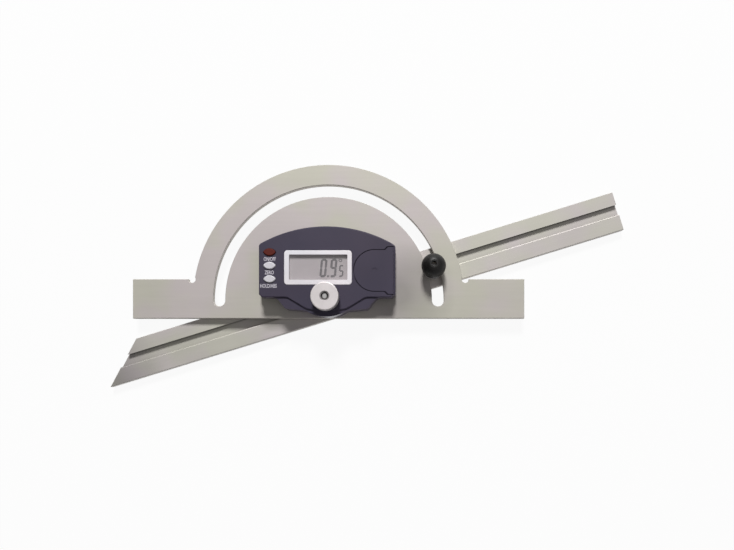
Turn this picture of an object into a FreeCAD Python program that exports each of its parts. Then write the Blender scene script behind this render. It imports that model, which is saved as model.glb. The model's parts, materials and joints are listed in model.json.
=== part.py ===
import FreeCAD, Part
import math
import os

import Sketcher
from FreeCAD import Vector

# Digital bevel protractor with a sliding blade, lying flat, millimetres.
# +X runs along the stock bar, +Y towards the top of the arc, +Z out of the display.
# The origin is the pivot axis at the rear face of the blade, the plane that the tool lies on.

DIMENSIONS = {
    # stock plate: a bar with a slotted half disc above it
    "bar_half": 108.3,
    "bar_below": 10.0,
    "bar_above": 11.7,
    "plate_base": 4.1,
    "plate_thick": 3.0,
    "arc_radius": 75.0,
    "slot_radius": 60.5,
    "slot_half": 3.3,
    "relief_radius": 2.0,
    "relief_place": 75.6,
    "edge_break": 0.25,
    # blade with its dovetail groove
    "blade_angle": 17.07,
    "blade_nose": 169.0,
    "blade_tail": 131.0,
    "blade_thick": 4.0,
    "groove_floor": 2.0,
    "groove_half": 2.85,
    "groove_root_half": 3.9,
    "groove_lip": 0.45,
    "groove_lip_depth": 0.2,
    "groove_offset": 1.55,
    # dovetail bolts that run in the groove
    "head_half_length": 7.0,
    "head_gap": 0.15,
    "head_top": 4.05,
    "journal_radius": 4.0,
    "journal_top": 7.75,
    "key_radius": 3.0,
    "key_half": 2.4,
    "key_top": 16.7,
    "pivot_thread": 2.0,
    "pivot_end": 23.45,
    "pivot_point": 1.1,
    "shoulder_radius": 3.1,
    "shoulder_top": 6.9,
    "lock_thread": 2.5,
    "lock_end": 13.5,
    "thread_gap": 0.05,
    "running_gap": 0.04,
    # bush, hub and angle sensor under the display housing
    "bush_radius": 5.5,
    "bush_flange": 7.0,
    "bush_rear": 4.2,
    "bush_top": 7.7,
    "hub_radius": 4.0,
    "hub_foot": 5.2,
    "hub_shoulder": 8.2,
    "hub_top": 16.9,
    "hub_hole": 4.35,
    "rotor_radius": 8.3,
    "rotor_top": 9.0,
    "pit_radius": 9.0,
    "pit_top": 10.0,
    "stator_base": 9.3,
    "stator_gap": 0.1,
    "pin_place": 6.6,
    "pin_pitch": 1.27,
    "pin_radius": 0.25,
    # clamp nut on the pivot, lock knob on the arc
    "washer_radius": 5.3,
    "washer_top": 17.4,
    "nut_collar": 18.3,
    "nut_radius": 7.5,
    "nut_top": 23.9,
    "nut_chamfer": 0.35,
    "nut_sink": 0.55,
    "lock_washer_base": 7.15,
    "lock_washer_radius": 6.0,
    "lock_washer_top": 7.75,
    "knob_radius": 6.65,
    "knob_centre": 13.6,
    "knob_base": 8.2,
    "knob_crown": 2.2,
    "knob_hole": 1.4,
    "insert_radius": 3.6,
    "insert_foot": 4.2,
    "insert_top": 17.2,
    # housing: tray against the plate, cover on top
    "case_base": 7.1,
    "case_split": 12.0,
    "case_face": 16.5,
    "case_wall": 1.6,
    "case_floor": 8.1,
    "case_arc": 72.5,
    "tray_half": 37.1,
    "tray_shoulder": 29.1,
    "cover_half": 36.25,
    "cover_shoulder": 28.8,
    "case_bottom": 0.9,
    "cover_bottom": 0.3,
    "corner_cut": 1.6,
    "corner_round": 2.0,
    "edge_round": 0.6,
    "wing_half": 27.4,
    "cover_wing": 26.9,
    "wing_top": 15.6,
    "wing_tip": 22.2,
    "wing_drop": 5.7,
    "nose_half": 11.0,
    "nose_drop": 6.7,
    "nose_arc": 20.0,
    "apron_half": 21.2,
    "apron_drop": 5.85,
    "apron_arc": 51.0,
    "board_seat": 11.0,
    "board_top": 11.9,
    "board_gap": 0.4,
    # four screws from the rear of the plate
    "screw_upper_place": 24.0,
    "screw_upper_level": 31.0,
    "screw_lower_place": 12.6,
    "screw_lower_level": 0.8,
    "screw_radius": 1.0,
    "screw_head": 1.9,
    "screw_top": 15.0,
    "screw_slot": 0.25,
    "boss_radius": 1.9,
    # display
    "bezel_left": 22.65,
    "bezel_right": 13.75,
    "bezel_low": 7.0,
    "bezel_high": 25.5,
    "bezel_round": 1.8,
    "bezel_gap": 0.08,
    "bezel_face": 16.65,
    "bezel_seat": 15.3,
    "view_left": 20.0,
    "view_right": 11.4,
    "view_low": 9.65,
    "view_high": 23.25,
    "view_round": 0.5,
    "glass_left": 21.3,
    "glass_right": 12.6,
    "glass_low": 8.2,
    "glass_high": 24.6,
    "glass_base": 13.4,
    "glass_top": 14.9,
    "window_base": 14.95,
    "strip_half": 0.8,
    "strip_inset": 1.0,
    # battery, its contacts and the sliding cover
    "chip_left": -16.0,
    "chip_low": 14.0,
    "chip_side": 8.0,
    "chip_high": 1.2,
    "cell_place": 25.2,
    "cell_level": 14.7,
    "cell_radius": 10.0,
    "cell_thick": 3.2,
    "well_gap": 0.25,
    "leaf_thick": 0.12,
    "leaf_half": 2.0,
    "lid_place": 25.9,
    "lid_radius": 11.0,
    "lid_step": 31.6,
    "lid_flare": 1.6,
    "lid_gap": 0.13,
    "lid_seam": 0.45,
    "lip_inner": 35.4,
    "lip_base": 13.6,
    "tongue_start": 23.4,
    "tongue_out": 1.05,
    "tongue_top": 15.9,
    "dimple_radius": 1.4,
    "dimple_depth": 0.2,
    # keys
    "key_place": 30.4,
    "key_level": 17.3,
    "key_step": 7.2,
    "key_long": 3.4,
    "key_arc": 3.89,
    "key_tip": 0.8,
    "key_face": 17.2,
    "key_edge": 0.5,
    "key_slack": 0.2,
    "key_flange": 14.6,
    "key_flange_long": 4.2,
    "key_flange_high": 2.9,
    "key_stem": 1.2,
    "key_foot": 12.75,
    "dome_radius": 2.0,
    "dome_high": 0.3,
}

WELL = "dims.cell_radius + dims.well_gap"
NEAR = 1e-4


def make_sheet(doc):
    """Spreadsheet of driving dimensions, one alias for each value."""
    sheet = doc.addObject("Spreadsheet::Sheet", "dims")
    for row, (alias, number) in enumerate(DIMENSIONS.items(), start=1):
        sheet.set(f"A{row}", alias)
        sheet.set(f"B{row}", str(number))
        sheet.setAlias(f"B{row}", alias)
    doc.recompute()
    return sheet


doc = FreeCAD.newDocument("bevel_protractor")
dims = make_sheet(doc)


def value(expression):
    """Number that an expression on the sheet gives."""
    return float(dims.evalExpression(str(expression)))


def new_body(label):
    """Empty body, named as its file will be."""
    body = doc.addObject("PartDesign::Body", label)
    body.Label = label
    return body


def new_sketch(body, role, level="0"):
    """Sketch on one of the body's own origin planes, moved along the plane's normal."""
    plane = next(item for item in body.Origin.OriginFeatures if item.Role == role)
    sketch = body.newObject("Sketcher::SketchObject", f"{body.Name}_sketch")
    sketch.AttachmentSupport = [(plane, "")]
    sketch.MapMode = "FlatFace"
    sketch.setExpression("AttachmentOffset.Base.z", str(level))
    return sketch


def constrain(sketch, kind, expression, *places):
    """Dimensional constraint bound to the sheet."""
    index = sketch.addConstraint(Sketcher.Constraint(kind, *places, value(expression)))
    sketch.setExpression(f"Constraints[{index}]", str(expression))


def pin_point(sketch, edge, end, across, along):
    """Fixes one end of an edge at a place measured from the sketch's origin."""
    constrain(sketch, "DistanceX", across, -1, 1, edge, end)
    constrain(sketch, "DistanceY", along, -1, 1, edge, end)


def arc_between(start, end, radius):
    """Arc of a signed radius: positive turns left on the way from start to end."""
    chord = end - start
    middle = (start + end) * 0.5
    rise = math.sqrt(max(radius ** 2 - (chord.Length / 2) ** 2, 0))
    left = Vector(-chord.y, chord.x, 0).normalize()
    side = math.copysign(1, radius)
    centre = middle + left * rise * side
    crown = centre - left * abs(radius) * side
    return Part.Arc(start, crown, end)


def add_outline(sketch, corners):
    """Closed outline. A corner is (x, y), or (x, y, radius) where an arc leaves it."""
    places = [Vector(value(corner[0]), value(corner[1]), 0) for corner in corners]
    joints = []
    for number, corner in enumerate(corners):
        start = places[number]
        end = places[(number + 1) % len(corners)]
        if len(corner) == 2:
            edge = sketch.addGeometry(Part.LineSegment(start, end), False)
            joints.append((edge, 1, 2))
            continue
        radius = value(corner[2])
        edge = sketch.addGeometry(arc_between(start, end, radius), False)
        joints.append((edge, 1, 2) if radius > 0 else (edge, 2, 1))
        constrain(sketch, "Radius", f"abs({corner[2]})", edge)
    for number, (edge, start_end, far_end) in enumerate(joints):
        following = joints[(number + 1) % len(joints)]
        sketch.addConstraint(Sketcher.Constraint("Coincident", edge, far_end, following[0], following[1]))
        pin_point(sketch, edge, start_end, corners[number][0], corners[number][1])


def add_circle(sketch, radius, across="0", along="0"):
    """Circle with its radius and centre bound to the sheet."""
    centre = Vector(value(across), value(along), 0)
    edge = sketch.addGeometry(Part.Circle(centre, Vector(0, 0, 1), value(radius)), False)
    constrain(sketch, "Radius", radius, edge)
    pin_point(sketch, edge, 3, across, along)


def add_box_outline(sketch, left, right, low, high):
    """Upright rectangle."""
    add_outline(sketch, [(left, low), (right, low), (right, high), (left, high)])


def pad(sketch, length, taper=0):
    """Adds material from the sketch along its normal, or backwards and tapered for a screw head."""
    body = sketch.getParentGeoFeatureGroup()
    feature = body.newObject("PartDesign::Pad", f"{body.Name}_pad")
    feature.Profile = sketch
    feature.TaperAngle = taper
    feature.Reversed = taper != 0
    feature.setExpression("Length", str(length))
    doc.recompute()
    return feature


def cut(sketch, length, taper=0):
    """Removes material from the sketch's plane backwards, and makes sure that some went."""
    body = sketch.getParentGeoFeatureGroup()
    before = body.Shape.Volume
    feature = body.newObject("PartDesign::Pocket", f"{body.Name}_cut")
    feature.Profile = sketch
    feature.TaperAngle = taper
    feature.setExpression("Length", str(length))
    doc.recompute()
    if body.Shape.Volume > before - NEAR:
        raise RuntimeError(f"{feature.Name} cuts nothing")
    return feature


def turn(body, corners):
    """Turns a half section, given as radius and height, about the body's Z axis."""
    sketch = new_sketch(body, "XZ_Plane")
    add_outline(sketch, corners)
    feature = body.newObject("PartDesign::Revolution", f"{body.Name}_turn")
    feature.Profile = sketch
    feature.ReferenceAxis = (sketch, ["V_Axis"])
    feature.Angle = 360
    doc.recompute()
    return feature


def round_edges(body, radius, wanted):
    """Rounds the edges of the body that the test picks."""
    base = body.Tip
    names = [f"Edge{index}" for index, edge in enumerate(base.Shape.Edges, start=1) if wanted(edge)]
    if not names:
        raise RuntimeError(f"{body.Name} has no edge to round")
    feature = body.newObject("PartDesign::Fillet", f"{body.Name}_round")
    feature.Base = (base, names)
    feature.setExpression("Radius", str(radius))
    doc.recompute()
    return feature


def bevel_edges(body, size, wanted):
    """Breaks the edges of the body that the test picks."""
    base = body.Tip
    names = [f"Edge{index}" for index, edge in enumerate(base.Shape.Edges, start=1) if wanted(edge)]
    feature = body.newObject("PartDesign::Chamfer", f"{body.Name}_bevel")
    feature.Base = (base, names)
    feature.setExpression("Size", str(size))
    doc.recompute()
    return feature


def upright_at(*corners):
    """Test for edges along Z through the given places, each an (x, y) pair of expressions."""
    places = [(value(across), value(along)) for across, along in corners]

    def wanted(edge):
        box = edge.BoundBox
        if box.XLength > NEAR or box.YLength > NEAR:
            return False
        return any(math.hypot(box.XMin - x, box.YMin - y) < 0.01 for x, y in places)

    return wanted


def level_at(height):
    """Test for edges that lie in a level plane."""
    level = value(height)
    return lambda edge: edge.BoundBox.ZLength < NEAR and abs(edge.BoundBox.ZMin - level) < 0.01


def turn_with_blade(body, distance="0"):
    """Places a body on the blade's line, at a distance from the pivot."""
    body.setExpression("Placement.Rotation.Angle", "dims.blade_angle")
    body.setExpression("Placement.Base.x", f"({distance}) * cos(dims.blade_angle)")
    body.setExpression("Placement.Base.y", f"({distance}) * sin(dims.blade_angle)")
    doc.recompute()


# ---- stock plate and blade ----

def make_protractor_plate():
    """Ground steel bar and slotted half disc in one plate."""
    body = new_body("protractor_plate")
    sketch = new_sketch(body, "XY_Plane", "dims.plate_base")
    root = "sqrt(dims.arc_radius ^ 2 - dims.bar_above ^ 2)"
    add_outline(sketch, [
        ("-dims.bar_half", "-dims.bar_below"),
        ("dims.bar_half", "-dims.bar_below"),
        ("dims.bar_half", "dims.bar_above"),
        (root, "dims.bar_above", "dims.arc_radius"),
        (f"-{root}", "dims.bar_above"),
        ("-dims.bar_half", "dims.bar_above"),
    ])
    pad(sketch, "dims.plate_thick")

    top = "dims.plate_base + dims.plate_thick"
    reliefs = new_sketch(body, "XY_Plane", top)
    for side in ("dims.relief_place", "-dims.relief_place"):
        add_circle(reliefs, "dims.relief_radius", side, "dims.bar_above")
    cut(reliefs, "dims.plate_thick")

    outer = "(dims.slot_radius + dims.slot_half)"
    inner = "(dims.slot_radius - dims.slot_half)"
    slot = new_sketch(body, "XY_Plane", top)
    add_outline(slot, [
        (outer, "0", outer),
        ("0", outer, outer),
        (f"-{outer}", "0", "dims.slot_half"),
        ("-dims.slot_radius", "-dims.slot_half", "dims.slot_half"),
        (f"-{inner}", "0", f"-{inner}"),
        ("0", inner, f"-{inner}"),
        (inner, "0", "dims.slot_half"),
        ("dims.slot_radius", "-dims.slot_half", "dims.slot_half"),
    ])
    cut(slot, "dims.plate_thick")
    bevel_edges(body, "dims.edge_break", level_at(top))
    bevel_edges(body, "dims.edge_break", level_at("dims.plate_base"))

    bore = new_sketch(body, "XY_Plane", top)
    add_circle(bore, "dims.bush_radius")
    for across, along in screw_places():
        add_circle(bore, "dims.screw_radius + dims.thread_gap", across, along)
    cut(bore, "dims.plate_thick")

    sinks = new_sketch(body, "XY_Plane", "dims.plate_base + dims.screw_head - dims.screw_radius")
    for across, along in screw_places():
        add_circle(sinks, "dims.screw_radius + dims.thread_gap", across, along)
    cut(sinks, "dims.screw_head - dims.screw_radius", 45)
    return body


def screw_places():
    """Where the four housing screws stand."""
    upper = ("dims.screw_upper_place", "dims.screw_upper_level")
    lower = ("dims.screw_lower_place", "dims.screw_lower_level")
    return [upper, (f"-{upper[0]}", upper[1]), lower, (f"-{lower[0]}", lower[1])]


def make_blade():
    """Sliding blade: one end square, the other cut at 45 degrees, a dovetail groove along its face."""
    body = new_body("blade")
    sketch = new_sketch(body, "XY_Plane")
    add_outline(sketch, [
        ("-dims.blade_tail", "-dims.bar_below"),
        ("dims.blade_nose", "-dims.bar_below"),
        ("dims.blade_nose", "dims.bar_above"),
        ("-dims.blade_tail + dims.bar_below + dims.bar_above", "dims.bar_above"),
    ])
    pad(sketch, "dims.blade_thick")
    bevel_edges(body, "dims.edge_break", level_at("dims.blade_thick"))
    bevel_edges(body, "dims.edge_break", level_at("0"))

    groove = new_sketch(body, "YZ_Plane", "dims.blade_nose")
    add_outline(groove, dovetail("0", "dims.blade_thick", "dims.groove_lip"))
    cut(groove, "dims.blade_nose + dims.blade_tail")
    turn_with_blade(body)
    return body


def dovetail(gap, top, lip):
    """Dovetail section whose lower mouth edge slopes off by a lip."""
    low = f"dims.groove_floor + {gap}"
    root = f"(dims.groove_root_half - {gap})"
    mouth = f"(dims.groove_half - {gap})"
    shoulder = "dims.blade_thick - dims.groove_lip_depth"
    return [
        (f"dims.groove_offset + {root}", low),
        (f"dims.groove_offset + {mouth}", shoulder),
        (f"dims.groove_offset + {mouth}", top),
        (f"dims.groove_offset - {mouth} - {lip}", top),
        (f"dims.groove_offset - {mouth}", shoulder),
        (f"dims.groove_offset - {root}", low),
    ]


def add_dovetail_head(body):
    """Head that slides in the blade's groove."""
    head = new_sketch(body, "YZ_Plane", "-dims.head_half_length")
    add_outline(head, dovetail("dims.head_gap", "dims.head_top", "0"))
    pad(head, "2 * dims.head_half_length")


def add_stud(body, radius, base, top):
    """Round length of a bolt."""
    stud = new_sketch(body, "XY_Plane", base)
    add_circle(stud, radius)
    pad(stud, f"{top} - ({base})")


def double_flat(gap):
    """Round section with two flats, as on a keyed shaft."""
    radius = f"(dims.key_radius + {gap})"
    half = f"(dims.key_half + {gap})"
    reach = f"sqrt({radius} ^ 2 - {half} ^ 2)"
    return [
        (f"-{reach}", f"-{half}"),
        (reach, f"-{half}", radius),
        (reach, half),
        (f"-{reach}", half, radius),
    ]


# ---- pivot: bolt, bush, hub, sensor, clamp nut ----

def make_pivot_bolt():
    """Bolt with a dovetail head, a journal for the bush, flats for the hub and a threaded end."""
    body = new_body("pivot_bolt")
    add_dovetail_head(body)
    add_stud(body, "dims.journal_radius", "dims.head_top", "dims.journal_top")
    keyed = new_sketch(body, "XY_Plane", "dims.journal_top")
    add_outline(keyed, double_flat("0"))
    pad(keyed, "dims.key_top - dims.journal_top")
    taper = "(dims.pivot_thread - dims.pivot_point)"
    end = [
        ("0", "dims.key_top"),
        ("dims.pivot_thread", "dims.key_top"),
        ("dims.pivot_thread", f"dims.pivot_end - {taper}"),
        ("dims.pivot_point", "dims.pivot_end"),
        ("0", "dims.pivot_end"),
    ]
    turn(body, end)
    turn_with_blade(body)
    return body


def make_pivot_bush():
    """Flanged bronze bush pressed into the plate."""
    body = new_body("pivot_bush")
    bore = "dims.journal_radius + dims.running_gap"
    front = "dims.plate_base + dims.plate_thick"
    turn(body, [
        (bore, "dims.bush_rear"),
        ("dims.bush_radius", "dims.bush_rear"),
        ("dims.bush_radius", front),
        ("dims.bush_flange", front),
        ("dims.bush_flange", "dims.bush_top"),
        (bore, "dims.bush_top"),
    ])
    return body


def make_rotor_hub():
    """Sleeve keyed to the bolt: it carries the rotor and takes the nut's clamping force."""
    body = new_body("rotor_hub")
    turn(body, [
        ("0", "dims.journal_top"),
        ("dims.hub_foot", "dims.journal_top"),
        ("dims.hub_foot", "dims.hub_shoulder"),
        ("dims.hub_radius", "dims.hub_shoulder"),
        ("dims.hub_radius", "dims.hub_top"),
        ("0", "dims.hub_top"),
    ])
    bore = new_sketch(body, "XY_Plane", "dims.hub_top")
    add_outline(bore, double_flat("dims.running_gap"))
    cut(bore, "dims.hub_top - dims.journal_top")
    turn_with_blade(body)
    return body


def make_disc(label, outer, inner, base, top):
    """Plain ring, such as a washer or a sensor board."""
    body = new_body(label)
    turn(body, [(inner, base), (outer, base), (outer, top), (inner, top)])
    return body


def make_sensor_pins():
    """Row of pins that joins the stator to the main board."""
    body = new_body("sensor_pins")
    sketch = new_sketch(body, "XY_Plane", "dims.pit_top")
    for step in (-2, -1, 0, 1, 2):
        add_circle(sketch, "dims.pin_radius", f"{step} * dims.pin_pitch", "dims.pin_place")
    pad(sketch, "dims.board_seat - dims.pit_top")
    return body


def make_clamp_nut():
    """Round thumb nut with a collar underneath and a countersunk thread."""
    body = new_body("clamp_nut")
    bore = "(dims.pivot_thread + dims.thread_gap)"
    turn(body, [
        (bore, "dims.washer_top"),
        ("dims.washer_radius", "dims.washer_top"),
        ("dims.washer_radius", "dims.nut_collar"),
        ("dims.nut_radius - dims.nut_chamfer", "dims.nut_collar"),
        ("dims.nut_radius", "dims.nut_collar + dims.nut_chamfer"),
        ("dims.nut_radius", "dims.nut_top - dims.nut_chamfer"),
        ("dims.nut_radius - dims.nut_chamfer", "dims.nut_top"),
        (f"{bore} + dims.nut_sink", "dims.nut_top"),
        (bore, "dims.nut_top - dims.nut_sink"),
    ])
    return body


# ---- lock on the arc ----

def make_lock_bolt():
    """Bolt with a dovetail head whose shoulder runs in the arc slot."""
    body = new_body("lock_bolt")
    add_dovetail_head(body)
    add_stud(body, "dims.shoulder_radius", "dims.head_top", "dims.shoulder_top")
    add_stud(body, "dims.lock_thread", "dims.shoulder_top", "dims.lock_end")
    turn_with_blade(body, "dims.slot_radius")
    return body


def make_lock_washer():
    """Washer that bridges the arc slot."""
    bore = "dims.lock_thread + dims.thread_gap"
    body = make_disc("lock_washer", "dims.lock_washer_radius", bore,
                     "dims.lock_washer_base", "dims.lock_washer_top")
    turn_with_blade(body, "dims.slot_radius")
    return body


def make_lock_knob():
    """Black ball knob, flat underneath, with a small hole in its crown."""
    body = new_body("lock_knob")
    foot = "sqrt(dims.knob_radius ^ 2 - (dims.knob_centre - dims.knob_base) ^ 2)"
    crown = "dims.knob_centre + sqrt(dims.knob_radius ^ 2 - dims.knob_crown ^ 2)"
    seat = "dims.insert_top"
    turn(body, [
        ("dims.insert_radius", "dims.knob_base"),
        (foot, "dims.knob_base", "dims.knob_radius"),
        ("dims.knob_crown", crown),
        ("dims.knob_hole", crown),
        ("dims.knob_hole", seat),
        ("dims.insert_radius", seat),
    ])
    turn_with_blade(body, "dims.slot_radius")
    return body


def make_knob_insert():
    """Threaded brass insert moulded into the knob."""
    body = new_body("knob_insert")
    bore = "dims.lock_thread + dims.thread_gap"
    turn(body, [
        (bore, "dims.lock_washer_top"),
        ("dims.insert_foot", "dims.lock_washer_top"),
        ("dims.insert_foot", "dims.knob_base"),
        ("dims.insert_radius", "dims.knob_base"),
        ("dims.insert_radius", "dims.insert_top"),
        (bore, "dims.insert_top"),
    ])
    turn_with_blade(body, "dims.slot_radius")
    return body


# ---- housing ----

def case_outline(lower, half, shoulder):
    """Whole housing outline; the top arc joins the right shoulder to the left one."""
    bottom = lower[-1][1]
    right = lower + [
        (f"{half} - dims.corner_cut", bottom),
        (half, f"{bottom} + dims.corner_cut"),
        (half, shoulder, "dims.case_arc"),
    ]
    left = [(f"-({corner[0]})", corner[1]) for corner in reversed(right)]
    belly = lower[0][2]
    right[0] = right[0][:2]
    left[-1] = left[-1] + (belly,)
    return right + left


def inner_space(margin):
    """Space inside the housing walls, with the top arc."""
    half = f"(dims.cover_half - {margin})"
    return [
        (f"-{half}", f"dims.case_bottom + {margin}"),
        (half, f"dims.case_bottom + {margin}"),
        (half, f"dims.cover_shoulder - {margin}", f"dims.case_arc - {margin}"),
        (f"-{half}", f"dims.cover_shoulder - {margin}"),
    ]


def make_case_back():
    """Tray that is screwed to the plate, with two wings and a nose round the pivot."""
    body = new_body("case_back")
    nose = ("dims.nose_half", "-dims.nose_drop", "dims.nose_arc")
    tip = ("dims.wing_tip", "-dims.wing_drop")
    wing = ("dims.wing_half", "dims.case_bottom")
    sketch = new_sketch(body, "XY_Plane", "dims.case_base")
    add_outline(sketch, case_outline([nose, tip, wing], "dims.tray_half", "dims.tray_shoulder"))
    pad(sketch, "dims.case_split - dims.case_base")
    for radius, (across, along) in (
        ("1.5 * dims.corner_round", nose[:2]),
        ("0.8 * dims.corner_round", tip),
        ("2.5 * dims.corner_round", wing),
        ("dims.corner_round", ("dims.tray_half", "dims.tray_shoulder")),
    ):
        round_edges(body, radius, upright_at((across, along), (f"-{across}", along)))
    round_edges(body, "0.5 * dims.edge_round", level_at("dims.case_split"))

    space = new_sketch(body, "XY_Plane", "dims.case_split")
    add_outline(space, inner_space("dims.case_wall"))
    cut(space, "dims.case_split - dims.board_seat")

    platform = "(dims.pit_radius + dims.case_wall)"
    low = "(dims.case_bottom + dims.case_wall)"
    reach = f"sqrt({platform} ^ 2 - {low} ^ 2)"
    deep = new_sketch(body, "XY_Plane", "dims.board_seat")
    floor = inner_space("dims.case_wall")
    around = [(f"-{reach}", low, f"-{platform}"), (reach, low)]
    add_outline(deep, floor[:1] + around + floor[1:])
    cut(deep, "dims.board_seat - dims.case_floor")

    bosses = new_sketch(body, "XY_Plane", "dims.case_floor")
    for across, along in screw_places()[:2]:
        add_circle(bosses, "dims.boss_radius", across, along)
    pad(bosses, "dims.board_seat - dims.case_floor")

    pit = new_sketch(body, "XY_Plane", "dims.pit_top")
    add_circle(pit, "dims.pit_radius")
    cut(pit, "dims.pit_top - dims.case_base")

    holes = new_sketch(body, "XY_Plane", "dims.case_split")
    add_circle(holes, "dims.hub_hole")
    pins = "(2.5 * dims.pin_pitch)"
    add_box_outline(holes, f"-{pins}", pins, "dims.pin_place - 2 * dims.pin_radius",
                    "dims.pin_place + 2 * dims.pin_radius")
    for across, along in screw_places():
        add_circle(holes, "dims.screw_radius + dims.thread_gap", across, along)
    cut(holes, "dims.case_split - dims.case_base")
    return body


def lid_outline(gap, right):
    """Battery opening: half round on the left, straight sides that step out near the right edge."""
    radius = f"(dims.lid_radius + {gap})"
    flare = f"({radius} + dims.lid_flare)"
    level = "dims.cell_level"
    step = f"dims.lid_step - {gap}"
    return [
        ("dims.lid_place", f"{level} - {radius}"),
        (step, f"{level} - {radius}"),
        (f"{step} + dims.lid_flare", f"{level} - {flare}"),
        (right, f"{level} - {flare}"),
        (right, f"{level} + {flare}"),
        (f"{step} + dims.lid_flare", f"{level} + {flare}"),
        (step, f"{level} + {radius}"),
        ("dims.lid_place", f"{level} + {radius}", radius),
        (f"dims.lid_place - {radius}", level, radius),
    ]


def key_levels():
    """Heights of the three keys on the face, top one first."""
    return ["dims.key_level + dims.key_step", "dims.key_level", "dims.key_level - dims.key_step"]


def key_lens(level, gap):
    """Pointed oval made of two arcs."""
    long = f"(dims.key_long + {gap})"
    radius = f"dims.key_arc + {gap}"
    return [(f"-dims.key_place - {long}", level, radius), (f"-dims.key_place + {long}", level, radius)]


def bezel_sides(gap):
    """Left, right, low and high side of the display frame, with a gap round it."""
    return [f"-dims.bezel_left - {gap}", f"dims.bezel_right + {gap}",
            f"dims.bezel_low - {gap}", f"dims.bezel_high + {gap}"]


def make_case_front():
    """Cover with wings like the tray's and a raised face, and openings for display, keys, hub and lid."""
    body = new_body("case_front")
    nose = ("dims.nose_half", "-dims.nose_drop", "dims.nose_arc")
    tip = ("dims.wing_tip", "-dims.wing_drop")
    wing = ("dims.cover_wing", "dims.cover_bottom")
    skirt = new_sketch(body, "XY_Plane", "dims.case_split")
    add_outline(skirt, case_outline([nose, tip, wing], "dims.cover_half", "dims.cover_shoulder"))
    pad(skirt, "dims.wing_top - dims.case_split")
    for radius, (across, along) in (
        ("1.5 * dims.corner_round", nose[:2]),
        ("0.8 * dims.corner_round", tip),
        ("2.5 * dims.corner_round", wing),
    ):
        round_edges(body, radius, upright_at((across, along), (f"-{across}", along)))

    belly = ("dims.nose_half", "-dims.apron_drop", "dims.apron_arc")
    hip = ("dims.apron_half", "dims.cover_bottom")
    sketch = new_sketch(body, "XY_Plane", "dims.wing_top")
    add_outline(sketch, case_outline([belly, hip], "dims.cover_half", "dims.cover_shoulder"))
    pad(sketch, "dims.case_face - dims.wing_top")
    for radius, (across, along) in (
        ("4 * dims.corner_round", belly[:2]),
        ("2.2 * dims.corner_round", hip),
        ("dims.corner_round", ("dims.cover_half", "dims.cover_shoulder")),
    ):
        round_edges(body, radius, upright_at((across, along), (f"-{across}", along)))
    round_edges(body, "dims.edge_round", level_at("dims.case_face"))

    under = "dims.bezel_seat"
    depth = "dims.bezel_seat - dims.case_split"
    rooms = new_sketch(body, "XY_Plane", under)
    slack = "dims.board_gap"
    add_box_outline(rooms, f"-dims.glass_left - {slack}", f"dims.glass_right + {slack}",
                    f"dims.glass_low - {slack}", f"dims.glass_high + {slack}")
    flange = "(dims.key_flange_long + dims.board_gap)"
    add_box_outline(rooms, f"-dims.key_place - {flange}", f"-dims.key_place + {flange}",
                    f"{key_levels()[2]} - {flange}", f"{key_levels()[0]} + dims.key_flange_high")
    add_circle(rooms, WELL, "dims.cell_place", "dims.cell_level")
    cut(rooms, depth)

    face = new_sketch(body, "XY_Plane", "dims.case_face")
    for level in key_levels():
        add_outline(face, key_lens(level, "dims.key_slack"))
    frame = bezel_sides("dims.bezel_gap")
    add_box_outline(face, *frame)
    add_outline(face, lid_outline("dims.lid_seam", "dims.cover_half + 1"))
    cut(face, "dims.case_face - dims.bezel_seat")
    bezel_corners = [(across, along) for across in frame[:2] for along in frame[2:]]
    round_edges(body, "dims.bezel_round", upright_at(*bezel_corners))

    grooves = new_sketch(body, "XY_Plane", "dims.tongue_top + dims.lid_gap")
    reach = "(dims.lid_radius + dims.tongue_out + dims.lid_gap)"
    add_box_outline(grooves, "dims.tongue_start - dims.lid_gap", "dims.lid_step + dims.lid_flare",
                    f"dims.cell_level - {reach}", f"dims.cell_level + {reach}")
    cut(grooves, "dims.tongue_top + dims.lid_gap - dims.bezel_seat")

    notch = new_sketch(body, "XY_Plane", "dims.bezel_seat")
    flare = "(dims.lid_radius + dims.lid_gap + dims.lid_flare)"
    add_box_outline(notch, "dims.lip_inner - dims.lid_gap", "dims.cover_half + 1",
                    f"dims.cell_level - {flare}", f"dims.cell_level + {flare}")
    cut(notch, "dims.bezel_seat - dims.lip_base + dims.lid_gap")

    hub = new_sketch(body, "XY_Plane", "dims.case_face")
    add_circle(hub, "dims.hub_hole")
    cut(hub, "dims.case_face - dims.case_split")

    threads = new_sketch(body, "XY_Plane", "dims.screw_top + dims.thread_gap")
    for across, along in screw_places():
        add_circle(threads, "dims.screw_radius + dims.thread_gap", across, along)
    cut(threads, "dims.screw_top + dims.thread_gap - dims.case_split")
    return body


def make_case_screws():
    """Four slotted countersunk screws, heads flush in the rear of the plate."""
    body = new_body("case_screws")
    body.AllowCompound = True
    cone = "(dims.screw_head - dims.screw_radius)"
    shanks = new_sketch(body, "XY_Plane", f"dims.plate_base + {cone}")
    heads = new_sketch(body, "XY_Plane", f"dims.plate_base + {cone}")
    for across, along in screw_places():
        add_circle(shanks, "dims.screw_radius", across, along)
        add_circle(heads, "dims.screw_radius", across, along)
    pad(shanks, f"dims.screw_top - dims.plate_base - {cone}")
    pad(heads, cone, 45)
    slots = new_sketch(body, "XY_Plane", f"dims.plate_base + {cone} / 2")
    for across, along in screw_places():
        add_box_outline(slots, f"{across} - dims.screw_head", f"{across} + dims.screw_head",
                        f"{along} - dims.screw_slot", f"{along} + dims.screw_slot")
    cut(slots, f"{cone} / 2")
    return body


# ---- display ----

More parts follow.
